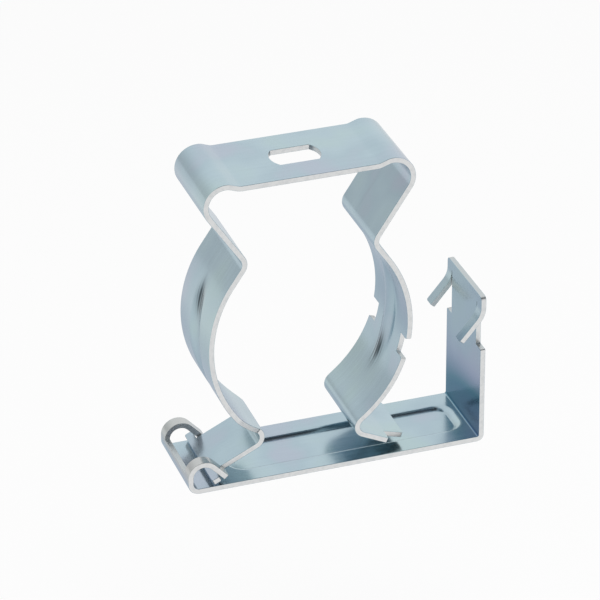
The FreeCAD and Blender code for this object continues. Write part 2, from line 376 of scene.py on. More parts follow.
def weld(name: str, patches: list[Patch]) -> Object:
    """Joins patches to one mesh: points within a thousandth of a millimetre become one.

    Args:
        name: name of the object and its mesh.
        patches: grids of points in millimetres.

    Returns:
        The object, linked to the scene, smooth, with its chart in millimetres as its UV map.
    """
    points = np.concatenate([patch.points.reshape(-1, 3) for patch in patches])
    chart = np.concatenate([patch.chart.reshape(-1, 2) for patch in patches]).astype(np.float32)
    patina = np.concatenate([patch.patina.reshape(-1, 3) for patch in patches]).astype(np.float32)
    corners = []
    first = 0
    for patch in patches:
        rows, columns = patch.points.shape[:2]
        index = first + np.arange(rows * columns).reshape(rows, columns)
        cells = np.stack([index[:-1, :-1], index[1:, :-1], index[1:, 1:], index[:-1, 1:]], axis=-1)
        corners.append(cells[patch.keep])
        first += rows * columns
    corners = np.concatenate(corners)
    _, kept, place = np.unique(np.round(points / WELD), axis=0, return_index=True, return_inverse=True)
    used, faces = np.unique(place.reshape(-1)[corners], return_inverse=True)
    mesh = bpy.data.meshes.new(name)
    mesh.from_pydata(points[kept[used]] * MM, [], faces.reshape(-1, 4))
    unrolled = mesh.uv_layers.new(name="strip")
    unrolled.data.foreach_set("uv", chart[corners.ravel()].ravel())
    weights = mesh.attributes.new(WEAR_AND_REFLECTIONS, "FLOAT_VECTOR", "POINT")
    weights.data.foreach_set("vector", patina[kept[used]].ravel())
    mesh.polygons.foreach_set("use_smooth", np.ones(len(mesh.polygons), bool))
    if mesh.validate():
        LOG.warning("%s had faces that could not stand", name)
    mesh.update()
    piece = bpy.data.objects.new(name, mesh)
    bpy.context.scene.collection.objects.link(piece)
    return piece


@dataclass(frozen=True)
class Sheet:
    """Sheet steel: gives a mid-surface its gauge and finishes, and its sheared edges a small radius.

    Only edges that turn by more than the edge angle, in degrees, are sheared ones.
    """

    gauge: float
    edge_radius: float = 0.09
    edge_steps: int = 2
    edge_angle: float = 80.0

    def finish(self, piece: Object, plate: Material, edge: Material) -> None:
        """Adds the thickness, half to each side, breaks the edges and gives the faces their materials.

        Args:
            piece: mid-surface to thicken.
            plate: finish of the rolled faces and of the broken edges.
            edge: finish of the cut rim.
        """
        wall = piece.modifiers.new("gauge", "SOLIDIFY")
        wall.thickness = self.gauge * MM
        wall.offset = 0.0
        wall.use_even_offset = True
        wall.use_quality_normals = True
        wall.material_offset_rim = 1
        broken = piece.modifiers.new("broken_edges", "BEVEL")
        broken.width = self.edge_radius * MM
        broken.segments = self.edge_steps
        broken.limit_method = "ANGLE"
        broken.angle_limit = math.radians(self.edge_angle)
        broken.use_clamp_overlap = False
        broken.harden_normals = True
        broken.material = 0
        piece.data.materials.append(plate)
        piece.data.materials.append(edge)


@dataclass(frozen=True)
class ZincPlate:
    """Cold-rolled steel strip, electroplated with bright zinc and blue passivated.

    The passivation gives a pale blue-grey satin metal that drifts to mint and lilac in soft clouds. Rolling
    leaves faint streaks along the strip, and the plating a grain. The real ones are finer, and both are
    drawn as coarse as they need to show. Rubbed places are bare grey. Two painted dark reflections lie
    only on the faces towards -X: one of the shaded floor at the upright's root, in violet, teal and
    slate, and dark streaks at the ends of the beads.
    """

    name: str = "blue_passivated_zinc_plate"
    # Mint, pale blue, steel and lilac, each at its place in the clouds' noise.
    clouds: Stops = ((0.34, "#ADC2C6"), (0.46, "#ABBFC8"), (0.55, "#A6BAC4"), (0.66, "#ABB7C4"))
    # Painted dark reflection at the upright's root: violet, teal and slate, each at its weight.
    root_reflection_stops: Stops = ((0.12, "#8C8CB4"), (0.45, "#066E86"), (0.75, "#46668C"))
    # Painted dark reflection at the ends of the beads.
    pressed: str = "#2A3C44"
    worn: str = "#C2C1BB"
    # Painted reflections lie only on faces that turn towards this side.
    reflecting_side: Triple = (-2.0, 0.0, 0.0)
    cloud_mm: float = 17.0
    streak_length_mm: float = 26.0
    streak_width_mm: float = 0.7
    grain_mm: float = 0.5
    # Spans of the streaks' noise over which tone, roughness and painted bead-end shade go from end to end.
    tone_span: Pair = (0.3, 0.7)
    satin_span: Pair = (0.25, 0.75)
    bead_reflection_span: Pair = (0.33, 0.56)
    tone: Pair = (0.97, 1.02)
    roughness: Pair = (0.17, 0.25)
    streak_bump_mm: float = 0.0012
    grain_bump_mm: float = 0.0012

    def build(self) -> Material:
        """Makes the finish of the rolled faces.

        Returns:
            The material.
        """
        material = bpy.data.materials.new(self.name)
        add = node_adder(material)
        place = add("TexCoord")
        clouds = add("TexNoise", {}, {
            "Vector": place.outputs["Object"], "Scale": 1 / (self.cloud_mm * MM),
            "Detail": 2.0, "Roughness": 0.45})
        tint = add("ValToRGB", {}, {"Fac": clouds}, self.clouds)
        along = add("Mapping", {}, {
            "Vector": place.outputs["UV"],
            "Scale": (1 / self.streak_length_mm, 1 / self.streak_width_mm, 1.0)})
        streaks = add("TexNoise", {}, {"Vector": along, "Scale": 1.0, "Detail": 3.0, "Roughness": 0.6})
        shade = add("MapRange", {}, {
            "Value": streaks, "From Min": self.tone_span[0], "From Max": self.tone_span[1],
            "To Min": self.tone[0], "To Max": self.tone[1]})
        colour = add("VectorMath", {"operation": "SCALE"}, {0: tint, "Scale": shade})
        stored = add("Attribute", {"attribute_name": WEAR_AND_REFLECTIONS})
        patina = add("SeparateXYZ", {}, {"Vector": stored.outputs["Vector"]})
        # Painted dark reflections, at the upright's root and at the bead ends, only on faces towards -X.
        toward_reflecting_side = add("VectorMath", {"operation": "DOT_PRODUCT"}, {
            0: place.outputs["Normal"], 1: self.reflecting_side})
        root_reflection = add("Math", {"operation": "MULTIPLY", "use_clamp": True}, {
            0: patina.outputs["X"], 1: toward_reflecting_side})
        root_reflection_tint = add("ValToRGB", {}, {"Fac": patina.outputs["X"]}, self.root_reflection_stops)
        bead_reflection_streaks = add("MapRange", {}, {
            "Value": streaks, "From Min": self.bead_reflection_span[0], "From Max": self.bead_reflection_span[1],
            "To Max": patina.outputs["Z"]})
        bead_reflection = add("Math", {"operation": "MULTIPLY", "use_clamp": True}, {0: bead_reflection_streaks, 1: toward_reflecting_side})
        seen = colour
        for weight, over in ((patina.outputs["Y"], linear(self.worn)), (root_reflection, root_reflection_tint),
                             (bead_reflection, linear(self.pressed))):
            seen = add("Mix", {"data_type": "RGBA"}, {"Factor": weight, MIX_A: seen, MIX_B: over})
        satin = add("MapRange", {}, {
            "Value": streaks, "From Min": self.satin_span[0], "From Max": self.satin_span[1],
            "To Min": self.roughness[0], "To Max": self.roughness[1]})
        grain = add("TexNoise", {}, {
            "Vector": place.outputs["Object"], "Scale": 1 / (self.grain_mm * MM), "Detail": 2.0})
        rolled = add("Bump", {}, {
            "Height": streaks, "Distance": self.streak_bump_mm * MM, "Strength": 1.0})
        fine = add("Bump", {}, {
            "Height": grain, "Distance": self.grain_bump_mm * MM, "Strength": 1.0, "Normal": rolled})
        shader = add("BsdfPrincipled", {}, {
            "Base Color": seen, "Metallic": 1.0, "Roughness": satin, "Normal": fine})
        add("OutputMaterial", {}, {"Surface": shader})
        return material


@dataclass(frozen=True)
class ShearedEdge:
    """Cut edges under the same zinc: bright where the strip was slit to width, duller at sheared ends."""

    name: str = "zinc_plated_sheared_edge"
    # Dull and bright patches of slit edges, each at its place in the shear marks' noise.
    slit: Stops = ((0.35, "#D5D7D8"), (0.55, "#DFE0E0"))
    slit_side: Triple = (0.0, 1.0, 0.0)
    end: str = "#BDC4C6"
    mark_mm: float = 1.1
    roughness: float = 0.36
    bump_mm: float = 0.006

    def build(self) -> Material:
        """Makes the finish of the cut rims.

        Returns:
            The material.
        """
        material = bpy.data.materials.new(self.name)
        add = node_adder(material)
        place = add("TexCoord")
        marks = add("TexNoise", {}, {
            "Vector": place.outputs["Object"], "Scale": 1 / (self.mark_mm * MM), "Detail": 3.0})
        tint = add("ValToRGB", {}, {"Fac": marks}, self.slit)
        across = add("VectorMath", {"operation": "DOT_PRODUCT"}, {
            0: place.outputs["Normal"], 1: self.slit_side})
        slit = add("Math", {"operation": "ABSOLUTE"}, {0: across})
        colour = add("Mix", {"data_type": "RGBA"}, {
            "Factor": slit, MIX_A: linear(self.end), MIX_B: tint})
        torn = add("Bump", {}, {"Height": marks, "Distance": self.bump_mm * MM, "Strength": 1.0})
        shader = add("BsdfPrincipled", {}, {
            "Base Color": colour, "Metallic": 1.0, "Roughness": self.roughness, "Normal": torn})
        add("OutputMaterial", {}, {"Surface": shader})
        return material


@dataclass
class SpringClip:
    """Spring strip folded to an omega: base plate, shoulders, necks, grip arcs and feet."""

    half_width: float = 10.0
    gauge: float = 1.2
    slot_width: float = 7.0
    slot_length: float = 11.0
    tube_radius: float = 27.0
    tube_standoff: float = 11.1
    grip_inset: float = 5.5
    grip_top_angle: float = 34.7
    grip_low_angle: float = 49.8
    shoulder_half_span: float = 26.35
    shoulder_radius: float = 3.75
    shoulder_lift: float = 0.83
    joggle_run: float = 2.4
    joggle_radius: float = 2.4
    joggle_land: float = 0.1
    upper_neck_run: float = 5.7
    upper_neck_radius: float = 1.9
    lower_neck_run: float = 5.1
    lower_neck_radius: float = 1.6
    foot_angle: float = 25.5
    foot_wide_run: float = 9.8
    narrow_half_width: float = 6.8
    tongue_angle: float = 16.0
    tongue_length: float = 4.7
    tongue_radius: float = 2.0
    taper_angle: float = 37.8
    taper_nib: float = 0.22
    head_reach: float = 14.5
    head_length: float = 1.9
    hinge_play: float = 0.13
    latch_angle: float = 13.6
    latch_length: float = 4.5
    latch_corner: float = 0.3
    bead_width: float = 6.7
    bead_height: float = 1.0
    bead_angle: float = -3.0
    bead_half_spread: float = 28.0
    bead_rim: float = 0.12
    # Degrees past the bead's end over which its soft rim fades out.
    bead_fade: Pair = (2.0, 8.0)
    # Painted bead-end reflections: the side along X, the angle on the grip arc and the place across.
    marks: tuple[Triple, ...] = ((1.0, -24.5, 0.5), (-1.0, 17.5, 0.4))
    bead_reflection_size: Pair = (3.6, 1.6)
    bead_reflection_weight: float = 0.8
    cut_corner: float = 0.45
    # Grids: the slotted stretch of the plate, rings round the slot, and the strip's columns and rows.
    plate_half_length: float = 13.0
    plate_points: int = 45
    slot_rings: int = 12
    slot_crowding: float = 1.2
    core_columns: int = 35
    step: float = 0.6
    turn_step: float = 6.0

    @property
    def plate_z(self) -> float:
        """Level of the base plate's mid-surface."""
        return -self.gauge / 2

    @property
    def grip_radius(self) -> float:
        """Radius of the grip arc's mid-line."""
        return self.tube_radius + self.gauge / 2

    @property
    def grip_centre(self) -> Array:
        """Centre of the arc on the +X side."""
        return np.array([-self.grip_inset, self.plate_z - self.tube_standoff - self.tube_radius])

    @property
    def lower_neck(self) -> Array:
        """Corner between grip arc and foot on the +X side."""
        low = self.grip_point(-self.grip_low_angle)
        return low + polar(-self.grip_low_angle - 90, self.lower_neck_run)

    @property
    def hinge(self) -> Array:
        """Middle of the T-head, which is the hinge axis."""
        return self.lower_neck * (-1, 1) + polar(180 + self.foot_angle, self.head_reach)

    @property
    def hinge_room(self) -> float:
        """Distance from the hinge axis to the faces of the bar round it."""
        return math.hypot(self.head_length, self.gauge) / 2 + self.hinge_play

    def grip_point(self, angle: float) -> Array:
        """Point of the grip arc at an angle in degrees above its centre."""
        return self.grip_centre + polar(angle, self.grip_radius)

    def half_corners(self) -> Array:
        """Corners of one half of the mid-line, on the +X side.

        Returns:
            Six corners (x, z), from the joggle to the lower neck.
        """
        shoulder = np.array([self.shoulder_half_span, self.plate_z + self.shoulder_lift])
        neck = self.grip_point(self.grip_top_angle) + polar(self.grip_top_angle + 90, self.upper_neck_run)
        spread = math.radians(self.grip_top_angle + self.grip_low_angle) / 2
        middle = (self.grip_top_angle - self.grip_low_angle) / 2
        grip = self.grip_centre + polar(middle, self.grip_radius / math.cos(spread))
        leg = math.atan2(neck[1] - shoulder[1], neck[0] - shoulder[0])
        begin = shoulder[0] - (self.shoulder_radius + self.gauge / 2) * math.tan(abs(leg) / 2)
        slope = math.atan2(self.shoulder_lift, self.joggle_run)
        high = begin - self.joggle_land - (self.joggle_radius + self.gauge / 2) * math.tan(slope / 2)
        return np.array([(high - self.joggle_run, self.plate_z), (high, shoulder[1]), shoulder, neck, grip,
                         self.lower_neck])

    def fold_line(self) -> FoldLine:
        """Lays out the whole clip, from the T-head over the base plate to the tongue.

        Returns:
            The mid-line.
        """
        half = self.half_corners()
        heel = self.lower_neck + polar(-self.foot_angle, self.head_reach + self.head_length / 2)
        tongue = self.lower_neck + polar(-self.foot_angle, self.foot_wide_run)
        toe = tongue + polar(-self.tongue_angle, self.tongue_length)
        radii = np.array([self.joggle_radius, self.joggle_radius, self.shoulder_radius,
                          self.upper_neck_radius, self.tube_radius, self.lower_neck_radius])
        corners = np.concatenate([[heel * (-1, 1)], half[::-1] * (-1, 1), half, [tongue, toe]])
        return FoldLine(corners, np.concatenate([radii[::-1], radii, [self.tongue_radius]]), self.gauge)

    def bead_lift(self, points: Array, y: Array) -> Array:
        """Height of the pressed bead, which is a ring round Y that is flatter than the grip arc.

        With r the reach of the ring's inner face from the grip centre, the bead stands h = tube radius - r
        proud, and h is cut off at nought with a soft rim: (h + sqrt(h^2 + rim^2)) / 2.

        Args:
            points: mid-line points (x, z) of the rows.
            y: places across the strip, as rows by columns.

        Returns:
            Lift along the outward normal, which is below nought where the bead is pressed inward.
        """
        section = ((self.bead_width / 2) ** 2 + self.bead_height ** 2) / (2 * self.bead_height)
        ring = self.tube_radius - self.bead_height + section
        end = ring + self.bead_height
        spread = math.cos(math.radians(self.bead_half_spread))
        shift = (end ** 2 - ring ** 2) / (2 * (ring - end * spread))
        offset = np.abs(points) * (1, -1) - self.grip_centre
        away = np.arctan2(offset[:, 1], offset[:, 0]) - math.radians(self.bead_angle)
        inner = ring + shift - np.sqrt(np.maximum(section ** 2 - y ** 2, 0))
        side = shift * np.sin(away)[:, None]
        reach = np.sqrt(inner ** 2 - side ** 2) - shift * np.cos(away)[:, None]
        proud = self.tube_radius - reach
        soft = (proud + np.sqrt(proud ** 2 + self.bead_rim ** 2)) / 2
        low, high = (self.bead_half_spread + past for past in self.bead_fade)
        fade = 1 - ease(low, high, np.degrees(np.abs(away)))
        return -soft * fade[:, None]

    def bead_end_reflections(self, points: Array, y: Array) -> Array:
        """Painted dark reflections at the beads' ends: exp(-(along / a)^2 - (across / b)^2).

        Args:
            points: mid-line points (x, z) of the rows.
            y: places across the strip, as rows by columns.

        Returns:
            Weight of the painted reflections, as rows by columns.
        """
        marks = np.zeros(y.shape)
        for side, angle, place in self.marks:
            middle = self.grip_point(angle) * (side, 1)
            along = np.hypot(*(points - middle).T)[:, None]
            marks += np.exp(-(along / self.bead_reflection_size[0]) ** 2 - ((y - place) / self.bead_reflection_size[1]) ** 2)
        return self.bead_reflection_weight * marks

    def slot_patch(self, middle: float, across: Array) -> Patch:
        """Base plate between its outline and the fixing slot, as rays from the slot's middle.

        The slot is a round hole between two flats, so a ray at angle a meets it at the smaller of half its
        length and half its width / sin a.

        Args:
            middle: arc length of the slot's middle.
            across: the strip's columns, which the plate's ends share.

        Returns:
            The flat patch.
        """
        long = np.linspace(-self.plate_half_length, self.plate_half_length, self.plate_points)
        end = np.full_like(across, self.plate_half_length)
        edge = np.full_like(long, self.half_width)
        outline = np.concatenate([np.stack([end, across], 1), np.stack([-long, edge], 1)[1:],
                                  np.stack([-end, -across], 1)[1:], np.stack([long, -edge], 1)[1:]])
        reach = np.hypot(outline[:, 0], outline[:, 1])
        sine = outline[:, 1] / reach
        flat = self.slot_width / 2 / np.maximum(np.abs(sine), 1e-9)
        distance = np.minimum(flat, self.slot_length / 2)
        slot = outline * (distance / reach)[:, None]
        u = np.linspace(0, 1, self.slot_rings)[:, None, None] ** self.slot_crowding
        flat_points = slot + u * (outline - slot)
        level = np.full(flat_points.shape[:2], self.plate_z)
        points = np.stack([flat_points[:, :, 0], flat_points[:, :, 1], level], axis=2)
        chart = flat_points + np.array([middle, 0.0])
        cells = np.ones((len(u) - 1, len(outline) - 1), bool)
        return Patch(points, chart, cells, np.zeros_like(points))

    def build(self) -> Object:
        """Makes the folded strip: a grid for its middle, one for each side band, and the slotted plate.

        Returns:
            The mid-surface.
        """
        line = self.fold_line()
        ends = [ClipRun.PLATE, ClipRun.JOGGLE]
        middle = float(np.interp(0.0, line.origins[ends, 0], line.begins[ends]))
        grips = [ClipRun.HINGE_GRIP, ClipRun.LATCH_GRIP]
        hinge_grip, latch_grip = line.begins[grips]
        leg = line.begins[ClipRun.HINGE_LEG]
        full = hinge_grip + math.radians(self.grip_low_angle - self.taper_angle) * self.grip_radius
        notch = latch_grip + math.radians(self.grip_top_angle + self.latch_angle) * self.grip_radius
        tongue = line.length - self.tongue_length
        corner = (self.cut_corner, self.cut_corner)
        nick = (self.latch_corner, self.latch_corner)
        taper = (full - leg, self.half_width - self.narrow_half_width - self.taper_nib)
        zones = [Zone(0.0, self.head_length, corner, corner),
                 Zone(leg, notch - self.latch_length / 2, taper, nick, CornerShape.STRAIGHT),
                 Zone(notch + self.latch_length / 2, tongue, nick, corner)]
        core = Zone(0.0, line.length, end_corner=corner)
        plate = middle + self.plate_half_length * np.array([-1.0, 1.0])
        marks = [zone.marks() for zone in (*zones, core)] + [plate]
        s = line.rows(self.step, self.turn_step, np.concatenate(marks))
        centres = (s[1:] + s[:-1]) / 2
        off_plate = (centres < plate[0]) | (centres > plate[1])
        banded = off_plate & np.any([zone.holds(centres) for zone in zones], axis=0)
        inner = np.linspace(-1, 1, self.core_columns)
        core_y = inner * (self.narrow_half_width - core.eaten(s))[:, None]
        band = self.half_width - sum(zone.eaten(s) for zone in zones) - self.narrow_half_width
        band_y = self.narrow_half_width + np.array([0.0, 1.0]) * band[:, None]
        points, _ = line.at(s)
        on_grip = np.isin(line.run_at(s), grips)
        patches = []
        for y, keep in ((core_y, off_plate), (band_y, banded), (-band_y[:, ::-1], banded)):
            lift = self.bead_lift(points, y) * on_grip[:, None]
            patches.append(folded_patch(line, s, y, keep, lift, (0.0, 0.0, self.bead_end_reflections(points, y))))
        row = int(np.argmin(np.abs(s - plate[0])))
        across = np.unique(np.round(np.concatenate([core_y[row], band_y[row], -band_y[row]]), 9))
        patches.append(self.slot_patch(middle, across))
        return weld("clip_strip", patches)

    def dress(self, piece: Object, plate: Material, edge: Material) -> None:
        """Gives the strip its gauge and finishes, and sets it in place of the plain solid.

        Args:
            piece: the mid-surface.
            plate: finish of the rolled faces.
            edge: finish of the cut rim.
        """
        Sheet(self.gauge).finish(piece, plate, edge)
        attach(piece, "clip")
        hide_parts("spring_clip")


@dataclass
class LockingBar:
    """Folded bar: upright with barbs, plate with a pressed panel, lip and hooked ears round the T-head."""

    clip: SpringClip
    half_width: float = 10.0
    gauge: float = 1.2
    lip_reach: float = 5.8
    lip_height: float = 4.1
    lip_radius: float = 1.3
    ear_radius: float = 2.35
    ear_slope: float = 47.0
    ear_tip_lift: float = 0.25
    panel_half_width: float = 6.0
    panel_depth: float = 0.8
    panel_corner: float = 4.0
    panel_wall: float = 1.27
    panel_end_run: float = 1.95
    panel_root_radius: float = 0.68
    panel_hinge_margin: float = 4.5
    panel_upright_margin: float = 1.5
    upright_gap: float = 15.6
    upright_radius: float = 0.4
    upright_corner: float = 1.0
    waist_half_width: float = 7.2
    barb_inner: float = 7.46
    barb_angle: float = 49.7
    barb_length: float = 7.7
    barb_radius: float = 4.6
    barb_tip_drop: float = 1.1
    barb_root_rise: float = 8.0
    shear_drop: float = 2.5
    shear_corner: float = 0.3
    upright_top_rise: float = 10.3
    # Painted dark reflection at the upright's root: rises where it is full and gone, weight, and lean
    # across.
    root_reflection_full: float = 3.0
    root_reflection_end: float = 20.0
    root_reflection_weight: float = 0.62
    root_reflection_lean: float = 0.015
    ear_wear: float = 0.7
    cut_corner: float = 0.45
    # Grid: columns from the middle to the waist and rows over the panel's ends, close where its walls run.
    column_stops: tuple[float, ...] = (0.0, 1.8, 4.4, 6.2, 6.6)
    column_counts: tuple[int, ...] = (3, 22, 21, 1)
    wall_reach: Pair = (-0.3, 4.8)
    wall_rows: int = 47
    step: float = 0.6
    turn_step: float = 6.0

    @property
    def plate_z(self) -> float:
        """Level of the plate's mid-surface."""
        return self.clip.hinge[1] - self.clip.hinge_room - self.gauge / 2

    @property
    def upright_x(self) -> float:
        """Place of the upright's mid-surface."""
        grip = self.clip.grip_centre[0] + self.clip.grip_radius + self.clip.gauge / 2
        return grip + self.upright_gap + self.gauge / 2

    @property
    def panel_span(self) -> Pair:
        """Places along X where the panel's rim begins and ends."""
        return self.clip.hinge[0] + self.panel_hinge_margin, self.upright_x - self.panel_upright_margin

    @property
    def tip_z(self) -> float:
        """Level of the barbs' tips."""
        return self.clip.grip_point(-self.clip.latch_angle)[1] - self.barb_tip_drop

    @property
    def swing_low(self) -> float:
        """Lowest level that the upright's top reaches as the bar swings about the hinge."""
        top = np.array([self.upright_x + self.gauge / 2, self.tip_z + self.upright_top_rise])
        return self.clip.hinge[1] - float(np.hypot(*(top - self.clip.hinge)))

    def fold_line(self) -> FoldLine:
        """Lays out the bar, from the upright's top along the plate and round to the ears' tips.

        Returns:
            The mid-line.
        """
        hinge = self.clip.hinge
        standoff = self.clip.hinge_room + self.gauge / 2
        slope = math.radians(self.ear_slope)
        lip_x = hinge[0] - self.lip_reach
        hook = (lip_x, hinge[1] + (standoff + self.lip_reach * math.sin(slope)) / math.cos(slope))
        tip = (hinge[0] + (standoff - self.ear_tip_lift * math.cos(slope)) / math.sin(slope),
               hinge[1] + self.ear_tip_lift)
        top = (self.upright_x, self.tip_z + self.upright_top_rise)
        corners = np.array([top, (self.upright_x, self.plate_z), (lip_x, self.plate_z), hook, tip])
        radii = np.array([self.upright_radius, self.lip_radius, self.ear_radius])
        return FoldLine(corners, radii, self.gauge)

    def barb_line(self) -> FoldLine:
        """Lays out a barb, from its root in the upright to its tip.

        Returns:
            The mid-line.
        """
        reach = polar(self.barb_angle, self.barb_length)
        tip = np.array([self.upright_x - reach[0], self.tip_z])
        root = (self.upright_x, self.tip_z + self.barb_root_rise)
        corners = np.array([root, tip + reach, tip])
        return FoldLine(corners, np.array([self.barb_radius]), self.gauge)

    def panel_lift(self, x: Array, y: Array) -> Array:
        """Depth of the pressed panel: a rounded rectangle whose rim rolls over and whose floor is crisp.

        The wall is two arcs that meet at one slope. Over a run w with depth d their radii add up to
        (w^2 + d^2) / 2d. The arc into the floor is as tight as the gauge allows, and the rim's is the rest.

        Args:
            x: places of the rows along the plate.
            y: places across, as rows by columns.

        Returns:
            Lift along the downward normal.
        """
        x0, x1 = self.panel_span
        wall = self.panel_wall
        rim = rounded_distance(x, y, (x0, x1), self.panel_half_width, self.panel_corner)
        floor = rounded_distance(x, y, (x0 + wall, x1 - self.panel_end_run), self.panel_half_width - wall,
                                 self.panel_corner - wall)
        inside = np.maximum(-rim, 0)
        left = np.maximum(floor, 0)
        run = inside + left
        both = (run ** 2 + self.panel_depth ** 2) / (2 * self.panel_depth)
        root = self.panel_root_radius
        over = np.maximum(both - root, 0)
        rolled = over - np.sqrt(np.maximum(over ** 2 - inside ** 2, 0))
        sunk = self.panel_depth - root + np.sqrt(np.maximum(root ** 2 - left ** 2, 0))
        return np.where(left * both > root * run, rolled, sunk)

    def patina(self, line: FoldLine, s: Array, y: Array) -> tuple[Array | float, ...]:
        """Painted dark reflection at the upright's root, most on the near side, and wear round the ears.

        Args:
            line: the bar's mid-line.
            s: arc length of each row.
            y: places across, as rows by columns.

        Returns:
            Painted root reflection, wear and painted bead reflections, each a number or an array by rows.
        """
        points, _ = line.at(s)
        rise = points[:, 1] - self.plate_z
        standing = s < line.begins[BarRun.PLATE]
        # Painted dark reflection of the shaded floor, full low on the upright and fading out higher up.
        root = np.where(standing, 1 - ease(self.root_reflection_full, self.root_reflection_end, rise), 0.0)
        ears = ease(line.begins[BarRun.LIP], line.begins[BarRun.EAR], s) * self.ear_wear
        return root[:, None] * (self.root_reflection_weight - self.root_reflection_lean * y), ears[:, None], 0.0

    def across(self) -> Array:
        """Columns of the bar's middle, close where the panel's walls run.

        Returns:
            Rising places across, the same on both sides.
        """
        stops = self.column_stops
        counts = self.column_counts
        spans = [np.linspace(a, b, n, endpoint=False) for a, b, n in zip(stops, stops[1:], counts)]
        half = np.concatenate([*spans, [stops[-1], self.waist_half_width]])
        return np.concatenate([-half[:0:-1], half])

    def build(self) -> Object:
        """Makes the folded bar: a grid for its middle, and on each side a band and a barb.

        Returns:
            The mid-surface.
        """
        line = self.fold_line()
        root = self.upright_top_rise - self.barb_root_rise
        shear = self.upright_top_rise + self.shear_drop
        ear = line.begins[BarRun.EAR]
        lip = ear + self.plate_z - self.gauge / 2 + self.lip_height - line.origins[BarRun.EAR][1]
        corner = (self.cut_corner, self.cut_corner)
        top = (self.upright_corner, self.upright_corner)
        nick = (self.shear_corner, self.shear_corner)
        zones = [Zone(0.0, root, top), Zone(shear, line.length, nick, corner)]
        core = Zone(0.0, lip)
        plate = line.begins[BarRun.PLATE]
        begin, end = plate + line.origins[BarRun.PLATE][0] - np.array(self.panel_span)
        walls = np.linspace(*self.wall_reach, self.wall_rows)
        marks = [zone.marks() for zone in (*zones, core)] + [begin - walls, end + walls]
        s = line.rows(self.step, self.turn_step, np.concatenate(marks))
        centres = (s[1:] + s[:-1]) / 2
        points, _ = line.at(s)
        flat = (s > plate) & (s < line.begins[BarRun.LIP_BEND])
        across = self.across()
        core_y = np.broadcast_to(across, (len(s), len(across)))
        banded = np.any([zone.holds(centres) for zone in zones], axis=0)
        u = np.array([0.0, 1.0])
        band = self.half_width - sum(zone.eaten(s) for zone in zones) - self.barb_inner
        rim_y = self.barb_inner + u * band[:, None]
        band_y = np.concatenate([np.full((len(s), 1), self.waist_half_width), rim_y], axis=1)
        barb = self.barb_line()
        tip = Zone(0.0, barb.length, end_corner=corner)
        barb_s = barb.rows(self.step / 2, self.turn_step, tip.marks())
        barb_band = self.half_width - tip.eaten(barb_s) - self.barb_inner
        barb_y = self.barb_inner + u * barb_band[:, None]
        whole = np.ones(len(barb_s) - 1, bool)
        lift = self.panel_lift(points[:, 0], core_y) * flat[:, None]
        patches = [folded_patch(line, s, core_y, core.holds(centres), lift, self.patina(line, s, core_y))]
        for side in Side:
            order = slice(None) if side is Side.FAR else slice(None, None, -1)
            strip_y = side.value * band_y[:, order]
            patches.append(folded_patch(line, s, strip_y, banded, 0.0, self.patina(line, s, strip_y)))
            patches.append(folded_patch(barb, barb_s, side.value * barb_y[:, order], whole))
        return weld("bar_strip", patches)

    def dress(self, piece: Object, plate: Material, edge: Material) -> None:
        """Gives the bar its gauge and finishes, and sets it in place of the plain solid.

        Args:
            piece: the mid-surface.
            plate: finish of the rolled faces.
            edge: finish of the cut rim.
        """
        Sheet(self.gauge).finish(piece, plate, edge)
        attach(piece, "bar")
        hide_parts("locking_bar")


